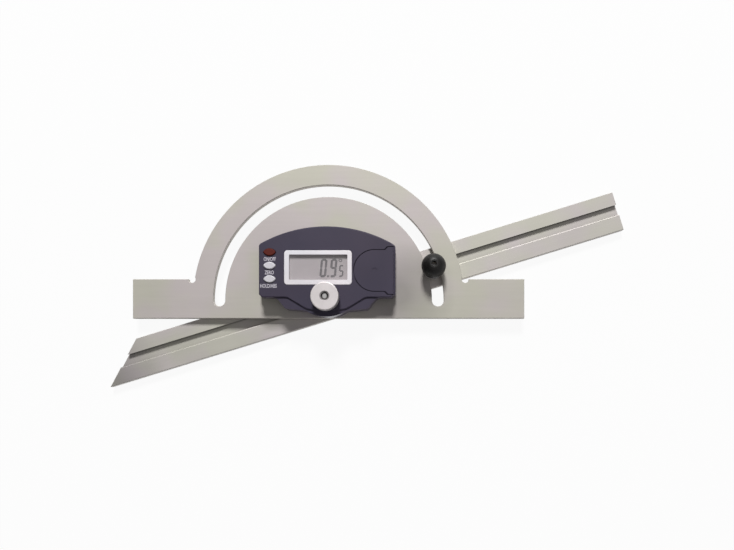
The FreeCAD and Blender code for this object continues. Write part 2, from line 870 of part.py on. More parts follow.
def make_display_bezel():
    """White frame round the display window."""
    body = new_body("display_bezel")
    sketch = new_sketch(body, "XY_Plane", "dims.bezel_seat")
    add_box_outline(sketch, *bezel_sides("0"))
    pad(sketch, "dims.bezel_face - dims.bezel_seat")
    round_edges(body, "dims.bezel_round", lambda edge: edge.BoundBox.ZLength > NEAR)
    round_edges(body, "0.5 * dims.edge_round", level_at("dims.bezel_face"))
    view = new_sketch(body, "XY_Plane", "dims.bezel_face")
    add_box_outline(view, "-dims.view_left", "dims.view_right", "dims.view_low", "dims.view_high")
    cut(view, "dims.bezel_face - dims.bezel_seat")
    corners = [(across, along) for across in ("-dims.view_left", "dims.view_right")
               for along in ("dims.view_low", "dims.view_high")]
    round_edges(body, "dims.view_round", upright_at(*corners))
    return body


def make_slab(label, left, right, low, high, base, top):
    """Flat rectangular piece."""
    body = new_body(label)
    sketch = new_sketch(body, "XY_Plane", base)
    add_box_outline(sketch, left, right, low, high)
    pad(sketch, f"{top} - ({base})")
    return body


def make_zebra_strips():
    """Two rubber connector strips between the board and the display glass."""
    body = new_body("zebra_strips")
    body.AllowCompound = True
    sketch = new_sketch(body, "XY_Plane", "dims.board_top")
    for level in ("dims.glass_low + dims.strip_inset", "dims.glass_high - dims.strip_inset"):
        add_box_outline(sketch,
                        "-dims.glass_left + dims.strip_inset", "dims.glass_right - dims.strip_inset",
                        f"{level} - dims.strip_half", f"{level} + dims.strip_half")
    pad(sketch, "dims.glass_base - dims.board_top")
    return body


def make_circuit_board():
    """Main board, cut away round the hub and the screw bosses."""
    body = new_body("circuit_board")
    sketch = new_sketch(body, "XY_Plane", "dims.board_seat")
    add_outline(sketch, inner_space("(dims.case_wall + dims.board_gap)"))
    pad(sketch, "dims.board_top - dims.board_seat")
    holes = new_sketch(body, "XY_Plane", "dims.board_top")
    add_circle(holes, "dims.hub_hole + dims.board_gap")
    for across, along in screw_places()[:2]:
        add_circle(holes, "dims.boss_radius + dims.board_gap", across, along)
    cut(holes, "dims.board_top - dims.board_seat")
    return body


# ---- battery ----

def make_coin_cell():
    """Lithium coin cell: a wide can with a smaller negative cap below."""
    body = new_body("coin_cell")
    base = "dims.board_top + dims.leaf_thick"
    cap = "dims.cell_radius - dims.leaf_half"
    step = f"{base} + dims.cell_thick / 4"
    turn(body, [
        ("0", base),
        (cap, base),
        (cap, step),
        ("dims.cell_radius", step),
        ("dims.cell_radius", f"{base} + dims.cell_thick"),
        ("0", f"{base} + dims.cell_thick"),
    ])
    body.setExpression("Placement.Base.x", "dims.cell_place")
    body.setExpression("Placement.Base.y", "dims.cell_level")
    return body


def make_minus_contact():
    """Flat strip under the cell."""
    near = "dims.cell_place - dims.cell_radius + dims.leaf_half"
    return make_slab("minus_contact", near, "dims.cell_place + dims.leaf_half",
                     "dims.cell_level - dims.leaf_half", "dims.cell_level + dims.leaf_half",
                     "dims.board_top", "dims.board_top + dims.leaf_thick")


def make_plus_contact():
    """Upright leaf that touches the rim of the cell."""
    near = "dims.cell_place - dims.cell_radius - dims.leaf_thick"
    return make_slab("plus_contact", near, f"{near} + dims.leaf_thick",
                     "dims.cell_level - dims.leaf_half / 2", "dims.cell_level + dims.leaf_half / 2",
                     "dims.board_top", "dims.glass_top")


def make_battery_cover():
    """Sliding lid with two tongues, a finger dimple and a lip at the side of the housing."""
    body = new_body("battery_cover")
    sketch = new_sketch(body, "XY_Plane", "dims.bezel_seat")
    add_outline(sketch, lid_outline("0", "dims.cover_half"))
    pad(sketch, "dims.case_face - dims.bezel_seat")
    tongues = new_sketch(body, "XY_Plane", "dims.bezel_seat")
    reach = "(dims.lid_radius + dims.tongue_out)"
    add_box_outline(tongues, "dims.tongue_start", "dims.lid_step",
                    f"dims.cell_level - {reach}", f"dims.cell_level + {reach}")
    pad(tongues, "dims.tongue_top - dims.bezel_seat")
    lip = new_sketch(body, "XY_Plane", "dims.lip_base")
    flare = "(dims.lid_radius + dims.lid_flare)"
    add_box_outline(lip, "dims.lip_inner", "dims.cover_half",
                    f"dims.cell_level - {flare}", f"dims.cell_level + {flare}")
    pad(lip, "dims.bezel_seat - dims.lip_base")
    round_edges(body, "dims.edge_round", outer_top_edge("dims.cover_half", "dims.case_face"))
    dimple = new_sketch(body, "XY_Plane", "dims.case_face")
    add_circle(dimple, "dims.dimple_radius", "dims.lid_place", "dims.cell_level")
    cut(dimple, "dims.dimple_depth")
    return body


def outer_top_edge(across, height):
    """Test for the one top edge at the housing's right side."""
    side = value(across)
    top = value(height)

    def wanted(edge):
        box = edge.BoundBox
        return abs(box.XMin - side) < 0.01 and abs(box.XMax - side) < 0.01 and abs(box.ZMin - top) < 0.01

    return wanted


# ---- keys ----

def make_key(label, level):
    """Pointed oval key with a flange that stops against the cover and a stem over the dome."""
    body = new_body(label)
    stem = new_sketch(body, "XY_Plane", "dims.key_foot")
    add_circle(stem, "dims.key_stem", "-dims.key_place", level)
    pad(stem, "dims.key_flange - dims.key_foot")
    flange = new_sketch(body, "XY_Plane", "dims.key_flange")
    reach = "dims.key_flange_long"
    add_box_outline(flange, f"-dims.key_place - {reach}", f"-dims.key_place + {reach}",
                    f"{level} - dims.key_flange_high", f"{level} + dims.key_flange_high")
    pad(flange, "dims.bezel_seat - dims.key_flange - dims.thread_gap")
    lens = new_sketch(body, "XY_Plane", "dims.bezel_seat - dims.thread_gap")
    add_outline(lens, key_lens(level, "0"))
    pad(lens, "dims.key_face - dims.bezel_seat + dims.thread_gap")
    tips = [(f"-dims.key_place {sign} dims.key_long", level) for sign in ("-", "+")]
    round_edges(body, "dims.key_tip", upright_at(*tips))
    round_edges(body, "dims.key_edge", level_at("dims.key_face"))
    return body


def make_key_domes():
    """Three snap domes on the board, one under each key."""
    body = new_body("key_domes")
    body.AllowCompound = True
    rise = "dims.dome_high"
    radius = f"(dims.dome_radius ^ 2 + {rise} ^ 2) / (2 * {rise})"
    turn(body, [
        ("0", "dims.board_top"),
        ("dims.dome_radius", "dims.board_top", radius),
        ("0", f"dims.board_top + {rise}"),
    ])
    dome = body.Tip
    row = body.newObject("PartDesign::LinearPattern", "key_domes_row")
    row.Originals = [dome]
    row.Direction = (next(item for item in body.Origin.OriginFeatures if item.Role == "Y_Axis"), [""])
    row.setExpression("Length", "2 * dims.key_step")
    row.Occurrences = 3
    body.Tip = row
    body.setExpression("Placement.Base.x", "-dims.key_place")
    body.setExpression("Placement.Base.y", "dims.key_level - dims.key_step")
    return body


def make_controller_chip():
    """Measuring chip under the main board."""
    return make_slab("controller_chip", "dims.chip_left", "dims.chip_left + dims.chip_side",
                     "dims.chip_low", "dims.chip_low + dims.chip_side",
                     "dims.board_seat - dims.chip_high", "dims.board_seat")


def make_all():
    """Every sub-part of the protractor."""
    bodies = [
        make_protractor_plate(),
        make_blade(),
        make_pivot_bolt(),
        make_pivot_bush(),
        make_rotor_hub(),
        make_disc("rotor_disc", "dims.rotor_radius", "dims.hub_radius", "dims.hub_shoulder",
                  "dims.rotor_top"),
        make_disc("stator_disc", "dims.pit_radius - dims.stator_gap", "dims.hub_hole",
                  "dims.stator_base", "dims.pit_top"),
        make_sensor_pins(),
        make_disc("clamp_washer", "dims.washer_radius", "dims.pivot_thread + dims.thread_gap",
                  "dims.hub_top", "dims.washer_top"),
        make_clamp_nut(),
        make_lock_bolt(),
        make_lock_washer(),
        make_lock_knob(),
        make_knob_insert(),
        make_case_back(),
        make_case_front(),
        make_case_screws(),
        make_display_bezel(),
        make_slab("display_window", "-dims.glass_left", "dims.glass_right", "dims.glass_low",
                  "dims.glass_high", "dims.window_base", "dims.bezel_seat"),
        make_slab("lcd_panel", "-dims.glass_left", "dims.glass_right", "dims.glass_low",
                  "dims.glass_high", "dims.glass_base", "dims.glass_top"),
        make_zebra_strips(),
        make_circuit_board(),
        make_controller_chip(),
        make_coin_cell(),
        make_minus_contact(),
        make_plus_contact(),
        make_battery_cover(),
        make_key_domes(),
    ]
    for label, level in zip(("power_button", "zero_button", "hold_button"), key_levels()):
        bodies.append(make_key(label, level))
    return bodies


def check_document(bodies):
    """Stops if any object failed or any shape is unusable."""
    for item in doc.Objects:
        if "Invalid" in item.State or "Error" in item.State:
            raise RuntimeError(f"{item.Name} is {item.State}")
    for body in bodies:
        if body.Shape.isNull() or not body.Shape.isValid():
            raise RuntimeError(f"{body.Label} has no valid shape")


def export(bodies):
    """Writes each sub-part to its own file."""
    os.makedirs("parts", exist_ok=True)
    for body in bodies:
        body.Shape.exportStep(f"parts/{body.Label}.step")
        box = body.Shape.BoundBox
        print(f"{body.Label:18} {len(body.Shape.Solids)} solid  {body.Shape.Volume:9.1f} mm3  "
              f"x {box.XMin:7.2f} {box.XMax:7.2f}  y {box.YMin:7.2f} {box.YMax:7.2f}  "
              f"z {box.ZMin:6.2f} {box.ZMax:6.2f}")


all_bodies = make_all()
doc.recompute()
check_document(all_bodies)
export(all_bodies)
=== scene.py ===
import json
import math

import bmesh
import bpy
from mathutils import Matrix, Vector


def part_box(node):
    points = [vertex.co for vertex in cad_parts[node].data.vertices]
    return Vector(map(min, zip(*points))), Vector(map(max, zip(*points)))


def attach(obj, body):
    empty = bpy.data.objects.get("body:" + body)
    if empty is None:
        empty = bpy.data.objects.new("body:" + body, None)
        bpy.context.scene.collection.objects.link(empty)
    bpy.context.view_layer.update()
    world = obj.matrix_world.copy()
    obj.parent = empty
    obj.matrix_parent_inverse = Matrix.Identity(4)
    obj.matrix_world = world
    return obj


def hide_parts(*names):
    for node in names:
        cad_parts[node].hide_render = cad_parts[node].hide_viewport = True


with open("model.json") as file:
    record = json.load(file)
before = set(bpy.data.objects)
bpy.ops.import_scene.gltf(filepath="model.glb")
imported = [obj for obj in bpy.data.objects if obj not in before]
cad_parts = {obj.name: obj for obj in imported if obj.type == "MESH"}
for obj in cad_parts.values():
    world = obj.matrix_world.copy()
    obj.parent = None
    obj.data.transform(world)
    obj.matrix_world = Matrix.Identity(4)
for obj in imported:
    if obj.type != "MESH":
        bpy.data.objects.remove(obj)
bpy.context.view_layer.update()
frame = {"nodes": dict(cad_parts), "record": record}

bl_info = {
    "name": "Bevel protractor",
    "version": (1, 0, 0),
    "blender": (4, 5, 0),
    "location": "View3D > Sidebar > Protractor",
    "description": "Finishes, reading, legends, clamp nut and studio of a digital bevel protractor",
    "category": "Object",
}

# Ground steel: share of metal, and the side walls' colour against the faces', set lighter as painted light on
# walls that the lamp leaves in shade.
STEEL_METALLIC = 0.36
PLATE_SIDES_LIGHT = 1.12
BLADE_SIDES_LIGHT = 1.1
# Painted shade on the steel, a soft dark zone round the housing on the plate and a darker blade tip: the
# plate's centre, and each one's outer radius and depth.
PLATE_SHADE_CENTRE = Vector((0.040, 0.003, 0))
PLATE_PAINTED_SHADE = (0.036, 0.55)
TIP_PAINTED_SHADE = (0.042, 0.6)
# Painted shade in the blade's groove, darker under its far lip and on its walls: both sides across the blade,
# and how far it lies below the face.
GROOVE_SIDES = (-0.0026, 0.0052)
GROOVE_SHADE_DEPTH = 0.0006
# Soiling with painted shade, darker in hollows: the ring round the pivot bolt's end as inner radius, outer
# radius and level, then the nut's.
BOLT_GRIME_AND_SHADE = (0.00125, 0.0023, 0.4)
NUT_GRIME_AND_SHADE = 0.5
NUT_RIM_GRIME_AND_SHADE_WIDTH = 0.00025

# Colours of the pieces that are hardly or never in view.
BRONZE = (0.55, 0.33, 0.14)
BRASS = (0.72, 0.53, 0.24)
CONTACT_NICKEL = (0.7, 0.66, 0.58)
CELL_STEEL = (0.66, 0.65, 0.64)
BOARD_GREEN = (0.03, 0.16, 0.07)
SENSOR_BROWN = (0.2, 0.17, 0.06)
CHIP_BLACK = (0.02, 0.02, 0.022)
STRIP_PINK = (0.5, 0.36, 0.34)

# Reading: places are shares of the display frame's width and height.
LIT_BARS = {"0": "abcdef", "9": "abcdfg", "5": "acdfg"}
LARGE_FIGURES = (("0", 0.5755), ("9", 0.7235))
LARGE_LEVEL = 0.503
SMALL_FIGURE_PLACE = (0.8385, 0.416)
POINT_PLACE = (0.6434, 0.263)
DEGREE_PLACE = (0.8255, 0.724)
# Reading: figure sizes are shares of the large figures' height, the others of their stroke.
LARGE_WIDTH = 0.36
SMALL_WIDTH = 0.255
SMALL_HEIGHT = 0.645
SMALL_STROKE = 0.68
POINT_RADIUS = 0.5
DEGREE_RADII = (0.8, 0.38)

# Key legends: the words, their width in heights, and how far right of the key's middle they stand.
LEGENDS = {
    "power_button": ("ON/OFF", 3.1, 0.0001),
    "zero_button": ("ZERO", 2.33, -0.0002),
    "hold_button": ("HOLD/ABS", 4.24, -0.0006),
}

# Faces that meet at less than this angle are shaded smooth.
SMOOTH_BELOW = math.radians(30)

# Studio.
LAMP_PLACE = (0.0, 1.63, 1.41)
LAMP_TARGET = (0.0, 0.03, 0.0)
LAMP_SIZE = (0.45, 0.45)
BRIGHT_WAY = Vector((0.5, -0.3, 0.85)).normalized()
FLOOR_SIZE = 4
FLOOR_LEVEL = -0.0001
FLOOR_GREY = 0.8
FLOOR_GLOW = 0.93
SENSOR_WIDTH = 36
LENS = 28.376
LENS_SHIFT = (-0.0538, 0.1465)


# ---- places read from the CAD nodes ----

def blade_angle():
    """Angle of the blade to the stock bar, from the axis that it slides along."""
    joints = frame["record"]["behaviour"]["joints"]
    slide = next(joint["axis"] for joint in joints if joint["name"] == "blade_slide")
    return math.atan2(slide[1], slide[0])


def middle(node):
    """Centre of a node's box."""
    low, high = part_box(node)
    return (low + high) / 2


def reach(node):
    """Half the width of a node's box along X."""
    low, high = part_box(node)
    return (high.x - low.x) / 2


# ---- shader building ----

class Wire:
    """An output of a node, which can be used in sums like a number."""

    def __init__(self, finish, socket):
        self.finish = finish
        self.socket = socket

    def math(self, operation, first, second):
        return self.finish.node("ShaderNodeMath", {"operation": operation}, {0: first, 1: second})

    def __add__(self, other):
        return self.math("ADD", self, other)

    def __radd__(self, other):
        return self.math("ADD", other, self)

    def __sub__(self, other):
        return self.math("SUBTRACT", self, other)

    def __rsub__(self, other):
        return self.math("SUBTRACT", other, self)

    def __mul__(self, other):
        return self.math("MULTIPLY", self, other)

    def __rmul__(self, other):
        return self.math("MULTIPLY", other, self)


class Nodes:
    """A node tree that is filled one node at a time."""

    def __init__(self, tree):
        self.tree = tree
        self.tree.nodes.clear()

    def node(self, kind, settings=None, values=None, output=0):
        """Adds a node: its settings first, then the values or links of its sockets."""
        made = self.tree.nodes.new(kind)
        for name, setting in (settings or {}).items():
            setattr(made, name, setting)
        for name, given in (values or {}).items():
            if isinstance(given, Wire):
                self.tree.links.new(given.socket, made.inputs[name])
            else:
                made.inputs[name].default_value = given
        return Wire(self, made.outputs[output]) if made.outputs else None

    def blend(self, amount, low, high, mode="MIX"):
        """Mix of two colours."""
        settings = {"data_type": "RGBA", "blend_type": mode}
        return self.node("ShaderNodeMix", settings, {0: amount, 6: low, 7: high}, output=2)

    def place(self, centre=(0, 0, 0), turn=0.0, stretch=(1, 1, 1)):
        """Object coordinates, moved to a centre, turned about Z and stretched."""
        where = self.node("ShaderNodeTexCoord", output="Object")
        about = self.node("ShaderNodeVectorMath", {"operation": "SUBTRACT"}, {0: where, 1: centre})
        return self.node("ShaderNodeMapping", {"vector_type": "TEXTURE"}, {
            "Vector": about, "Rotation": (0, 0, turn), "Scale": tuple(1 / part for part in stretch)})

    def noise(self, vector, scale, detail=2.0, roughness=0.5):
        """Noise from 0 to 1."""
        return self.node("ShaderNodeTexNoise", {"noise_dimensions": "3D"}, {
            "Vector": vector, "Scale": scale, "Detail": detail, "Roughness": roughness})

    def spread(self, wire, low, high, start=0.0, end=1.0):
        """A value between start and end as the wire goes from low to high."""
        return self.node("ShaderNodeMapRange", {"clamp": True}, {
            "Value": wire, "From Min": low, "From Max": high, "To Min": start, "To Max": end})

    def edges(self, face, side):
        """0 where the surface lies level, 1 on the sides, by the upright part of its normal."""
        normal = self.node("ShaderNodeNewGeometry", output="True Normal")
        upright = self.part(normal, "Z")
        level = self.node("ShaderNodeMath", {"operation": "ABSOLUTE"}, {0: upright})
        return self.spread(level, face, side)

    def part(self, vector, axis):
        """One part of a vector."""
        return self.node("ShaderNodeSeparateXYZ", {}, {"Vector": vector}, axis)

    def radius(self, centre):
        """Distance from an upright axis through the centre."""
        level = self.node("ShaderNodeVectorMath", {"operation": "MULTIPLY"}, {
            0: self.place(centre), 1: (1, 1, 0)})
        return self.node("ShaderNodeVectorMath", {"operation": "LENGTH"}, {0: level}, "Value")

    def band(self, wire, low, high, soft=0.00012):
        """1 while the wire is between low and high, 0 outside."""
        rise = self.spread(wire, low - soft, low + soft)
        fall = self.spread(wire, high - soft, high + soft, 1.0, 0.0)
        return rise * fall

    def bump(self, height, strength, distance):
        """Normal of a surface with this height."""
        return self.node("ShaderNodeBump", {}, {"Height": height, "Strength": strength, "Distance": distance})


class Finish(Nodes):
    """A material made of one Principled shader."""

    def __init__(self, name):
        self.material = bpy.data.materials.new(name)
        self.material.use_nodes = True
        super().__init__(self.material.node_tree)

    def surface(self, **values):
        """Ends the material: socket names are given with underscores for spaces."""
        sockets = {name.replace("_", " "): given for name, given in values.items()}
        shader = self.node("ShaderNodeBsdfPrincipled", {}, sockets)
        self.node("ShaderNodeOutputMaterial", {}, {"Surface": shader})
        return self.material


def linear(colour, level=1.0):
    """Four-part colour from a property's three."""
    return tuple(part * level for part in colour[:3]) + (1.0,)


def tint(colour, factors):
    """Four-part colour with each part multiplied by its factor."""
    return linear([part * factor for part, factor in zip(colour, factors)])


def grey(level):
    """Four-part grey."""
    return (level, level, level, 1)


def shade(red, green, blue):
    """Scene-linear colour of an sRGB colour given from 0 to 255."""
    def one(part):
        part /= 255
        return part / 12.92 if part <= 0.04045 else ((part + 0.055) / 1.055) ** 2.4
    return (one(red), one(green), one(blue))


# ---- finishes ----

def rolled_steel(name, colour, turn, roughness, grain, sides, painted_shade, groove_shade=None):
    """Ground steel: grinding lines, clouds of tone and hue, painted shade as a dark zone and in a groove,
    other sides lighter as painted light.
    """
    steel = Finish(name)
    lines = steel.noise(steel.place(turn=turn, stretch=(0.02, 1.0, 1.0)), 5200, 3.0, 0.6)
    streaks = steel.noise(steel.place(turn=turn, stretch=(0.05, 1.0, 1.0)), 620, 2.0, 0.5)
    clouds = steel.noise(steel.place(), 34, 2.0, 0.5)
    hue = steel.noise(steel.place(centre=(0.4, 0.2, 0.1)), 30, 2.0, 0.5)
    rosy = tint(colour, (1.01, 0.975, 1.03))
    green = tint(colour, (0.985, 1.01, 0.94))
    tinted = steel.blend(steel.spread(hue, 0.4, 0.6), rosy, green)
    tone = steel.spread(lines * 0.3 + streaks * 0.3 + clouds * 0.6, 0.42, 0.82)
    toned = steel.blend(tone, grey(0.95), grey(1.04))
    # Painted shade: the steel darkens towards a centre, in a soft dark zone.
    centre, outer, depth = painted_shade
    near = steel.spread(steel.radius(centre) + clouds * 0.012, 0.012, outer, depth, 0.0)
    ground = steel.blend(1.0, tinted, toned, "MULTIPLY")
    face = steel.blend(near, ground, linear(colour, 0.3))
    edge = steel.edges(0.88, 0.6)
    # Painted light: the side walls get a lighter colour than the faces.
    rim = linear([min(sides * part, 0.92) for part in colour])
    # Painted shade in the groove: its floor darker under the far lip, and its walls darker.
    if groove_shade:
        near_side, far_side, level = groove_shade
        spot = steel.place(turn=turn)
        across = steel.part(spot, "Y")
        up = steel.part(spot, "Z")
        deep = steel.spread(up, level - 0.0002, level, 0.8, 0.0)
        shaded_floor = steel.spread(across, far_side - 0.0016, far_side) * deep
        face = steel.blend(shaded_floor, face, linear(colour, 0.08))
        rim = steel.blend(steel.band(across, near_side, far_side), rim, linear(colour, 0.5))
    rough = steel.spread(lines * 0.5 + clouds * 0.5, 0.3, 0.7, roughness - 0.04, roughness + 0.04)
    return steel.surface(
        Base_Color=steel.blend(edge, face, rim),
        Metallic=STEEL_METALLIC,
        Roughness=rough - edge * 0.06,
        Normal=steel.bump((lines + streaks * 0.6) * (1.0 - edge), 0.25, grain),
    )


def turned_metal(name, colour, centre, roughness, pitch, metallic=1.0, grime_and_shade=()):
    """Lathe-turned metal: rings about an upright axis, slight stains, and soiling with painted shade between
    pairs of radii.
    """
    metal = Finish(name)
    spot = metal.place(centre=centre)
    rings = metal.node("ShaderNodeTexWave", {
        "wave_type": "RINGS", "rings_direction": "Z", "wave_profile": "SIN"}, {
        "Vector": spot, "Scale": 0.314 / pitch, "Distortion": 0.4, "Detail": 1.0, "Detail Scale": 2.0})
    stain = metal.noise(spot, 190, 3.0, 0.55)
    fine = metal.noise(spot, 2600, 2.0, 0.5)
    tone = metal.spread(stain * 0.6 + fine * 0.4, 0.35, 0.65)
    base = metal.blend(tone, linear(colour, 0.94), linear(colour, 1.03))
    # Soiling with painted shade: darker between each pair of radii.
    for inner, outer, level in grime_and_shade:
        base = metal.blend(metal.band(metal.radius(centre), inner, outer), base, linear(colour, level))
    return metal.surface(
        Base_Color=base,
        Metallic=metallic,
        Roughness=metal.spread(stain * 0.6 + rings * 0.4, 0.2, 0.8, roughness - 0.05, roughness + 0.05),
        Normal=metal.bump(rings * 0.8 + fine * 0.3, 0.25, 0.00001),
    )


def moulded(name, colour, roughness, grain, depth, gloss=0.5, polish_and_side_light=0.0):
    """Moulded plastic: spark-eroded texture, uneven tone, softly uneven gloss, sides smoother where polished
    and lighter as painted light.
    """
    plastic = Finish(name)
    where = plastic.place()
    pits = plastic.noise(where, grain, 3.0, 0.6)
    cells = plastic.node("ShaderNodeTexVoronoi", {"feature": "SMOOTH_F1"}, {
        "Vector": where, "Scale": grain * 0.8, "Smoothness": 0.6}, output="Distance")
    wide = plastic.noise(where, 48, 2.0, 0.5)
    hue = plastic.noise(plastic.place(centre=(0.3, 0.1, 0.2)), 30, 1.0, 0.5)
    cooler = tint(colour, (0.93, 1.0, 1.03))
    tinted = plastic.blend(plastic.spread(hue, 0.35, 0.65), linear(colour), cooler)
    tone = plastic.blend(plastic.spread(pits * 0.4 + wide * 0.6, 0.35, 0.65), grey(0.93), grey(1.06))
    rough = plastic.spread(pits * 0.5 + wide * 0.5, 0.3, 0.7, roughness - 0.06, roughness + 0.06)
    side = plastic.edges(0.5, 0.2)
    face = plastic.blend(1.0, tinted, tone, "MULTIPLY")
    return plastic.surface(
        # Painted light: the sides get a lighter colour, by the same share as they are smoother.
        Base_Color=plastic.blend(side * polish_and_side_light, face, linear(colour, 4.0)),
        Roughness=rough - side * polish_and_side_light,
        Normal=plastic.bump(pits + cells * 0.6, 0.5, depth),
        Specular_IOR_Level=gloss,
    )


def rubber_knob(name, colour):
    """Ball knob of phenolic plastic: satin, with fine rubbing marks and a dusting of wear."""
    knob = Finish(name)
    centre = middle("lock_knob")
    where = knob.place(centre=centre)
    wear = knob.noise(where, 380, 4.0, 0.6)
    fine = knob.noise(where, 3200, 2.0, 0.5)
    rub = knob.noise(knob.place(centre=centre, turn=0.6, stretch=(0.1, 1, 1)), 2100, 2.0, 0.5)
    tone = knob.spread(wear, 0.35, 0.7)
    hole = knob.spread(knob.radius(centre), 0.0013, 0.0015, 1.0, 0.0)
    rough = knob.spread(wear * 0.5 + rub * 0.5, 0.3, 0.7, 0.44, 0.54)
    return knob.surface(
        Base_Color=knob.blend(tone, linear(colour), linear(colour, 1.9)),
        Roughness=rough + hole * 0.44,
        Normal=knob.bump(fine * 0.6 + rub * 0.4, 0.35, 0.00001),
        Specular_IOR_Level=0.42,
    )


def liquid_crystal(name, colour):
    """Reflective display glass: faint fibre of the polariser and a soft mottle."""
    glass = Finish(name)
    fibre = glass.noise(glass.place(stretch=(0.1, 1, 1)), 4200, 2.0, 0.5)
    mottle = glass.noise(glass.place(), 90, 2.0, 0.5)
    tone = glass.spread(fibre * 0.4 + mottle * 0.6, 0.35, 0.65)
    return glass.surface(
        Base_Color=glass.blend(tone, linear(colour, 0.95), linear(colour, 1.04)),
        Roughness=glass.spread(mottle, 0.3, 0.7, 0.38, 0.5),
        Normal=glass.bump(fibre, 0.1, 0.000005),
    )


def clear_plastic(name):
    """Display window: nearly clear, with the faintest scratches in its gloss."""
    window = Finish(name)
    scratch = window.noise(window.place(turn=0.5, stretch=(0.05, 1, 1)), 1800, 3.0, 0.6)
    haze = window.noise(window.place(), 150, 2.0, 0.5)
    return window.surface(
        Base_Color=grey(0.9),
        Roughness=window.spread(scratch * 0.5 + haze * 0.5, 0.35, 0.7, 0.06, 0.16),
        Alpha=window.spread(haze, 0.3, 0.7, 0.07, 0.1),
        Specular_IOR_Level=0.35,
    )


def printed_board(name, colour):
    """Lacquered board: copper tracks showing through the solder mask, glass weave under it."""
    board = Finish(name)
    where = board.place()
    tracks = board.node("ShaderNodeTexBrick", {"offset": 0.37, "squash": 1.6, "squash_frequency": 3}, {
        "Vector": where, "Scale": 210.0, "Mortar Size": 0.03, "Color1": grey(0),
        "Color2": grey(0.2), "Mortar": grey(1)}, output="Fac")
    weave = board.noise(board.place(stretch=(1, 0.3, 1)), 2400, 2.0, 0.5)
    lit = board.blend(tracks, linear(colour), linear(colour, 1.9))
    return board.surface(
        Base_Color=board.blend(weave * 0.25, lit, linear(colour, 0.6)),
        Roughness=board.spread(weave, 0.3, 0.7, 0.3, 0.42),
        Normal=board.bump(tracks * 0.6 + weave * 0.2, 0.4, 0.00002),
    )


def dull(name, colour, roughness, scale, metallic=0.0):
    """Plain small part: speckled tone and matching unevenness."""
    part = Finish(name)
    grains = part.noise(part.place(), scale, 3.0, 0.6)
    wide = part.noise(part.place(), scale * 0.15, 2.0, 0.5)
    return part.surface(
        Base_Color=part.blend(part.spread(grains * 0.5 + wide * 0.5, 0.35, 0.65),
                              linear(colour, 0.86), linear(colour, 1.1)),
        Metallic=metallic,
        Roughness=part.spread(wide, 0.3, 0.7, roughness - 0.05, roughness + 0.05),
        Normal=part.bump(grains, 0.3, 0.00001),
    )


def paint_nodes(slot, material):
    """Gives the material to every CAD node of one of the record's material slots."""
    nodes = [part["node"] for part in frame["record"]["subparts"] if part["material_slot"] == slot]
    if not nodes:
        raise RuntimeError(f"no node uses the slot {slot}")
    for node in nodes:
        for place in frame["nodes"][node].material_slots:
            place.material = material


# ---- pieces ----

def new_piece(name, shape, material, body):
    """Turns a bmesh into an object that rides on a body."""
    bmesh.ops.recalc_face_normals(shape, faces=shape.faces)
    mesh = bpy.data.meshes.new(name)
    shape.to_mesh(mesh)
    shape.free()
    mesh.materials.append(material)
    piece = bpy.data.objects.new(name, mesh)
    bpy.context.scene.collection.objects.link(piece)
    mesh.polygons.foreach_set("use_smooth", [True] * len(mesh.polygons))
    mesh.set_sharp_from_angle(angle=SMOOTH_BELOW)
    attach(piece, body)
    return piece


def spin_profile(profile, steps):
    """Closed ring spun about Z from a loop of (radius, height) corners."""
    shape = bmesh.new()
    corners = [shape.verts.new((radius, 0, height)) for radius, height in profile]
    edges = [shape.edges.new((corner, corners[index - 1])) for index, corner in enumerate(corners)]
    bmesh.ops.spin(shape, geom=corners + edges, axis=(0, 0, 1), cent=(0, 0, 0),
                   angle=math.tau, steps=steps, use_merge=True)
    bmesh.ops.remove_doubles(shape, verts=shape.verts, dist=1e-7)
    return shape


def knurled_nut(size):
    """Round thumb nut: finely grooved rim, eased edges, a flat face and a countersunk thread."""
    low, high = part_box("clamp_nut")
    rim = reach("clamp_nut")
    collar = reach("clamp_washer")
    floor, top = low.z, high.z
    shoulder = floor + (top - floor) * 0.14
    ease = size.edge
    bore, sink = size.bore, size.sink
    profile = [
        (bore, floor),
        (collar - ease * 0.4, floor),
        (collar, floor + ease * 0.4),
        (collar, shoulder),
        (rim - ease, shoulder),
        (rim, shoulder + ease),
        (rim, top - ease),
        (rim - ease * 0.35, top - ease * 0.3),
        (rim - ease * 1.1, top),
        (rim - ease * 1.6, top),
        (sink + ease * 0.6, top),
        (sink + ease * 0.3, top),
        (sink, top - ease * 0.25),
        (bore, top - (sink - bore)),
    ]
    shape = spin_profile(profile, size.grooves * 2)
    step = math.pi / size.grooves
    edge = [corner for corner in shape.verts
            if corner.co.xy.length > rim - ease * 0.1
            and round(math.atan2(corner.co.y, corner.co.x) / step) % 2]
    inwards = 1 - size.groove_depth / rim
    bmesh.ops.scale(shape, verts=edge, vec=(inwards, inwards, 1))
    return shape


def add_bar(shape, length, stroke, across, along, upright):
    """One display bar, pointed at both ends."""
    made = bmesh.ops.create_circle(
        shape, segments=6, radius=stroke / math.sqrt(3), cap_ends=True)["verts"]
    for sign in (1, -1):
        bmesh.ops.translate(shape, verts=[corner for corner in made if corner.co.y * sign > 0],
                            vec=(0, sign * (length - stroke) / 2, 0))
    turn = Matrix.Identity(4) if upright else Matrix.Rotation(math.pi / 2, 4, "Z")
    bmesh.ops.transform(shape, matrix=Matrix.Translation((across, along, 0)) @ turn, verts=made)
    return made


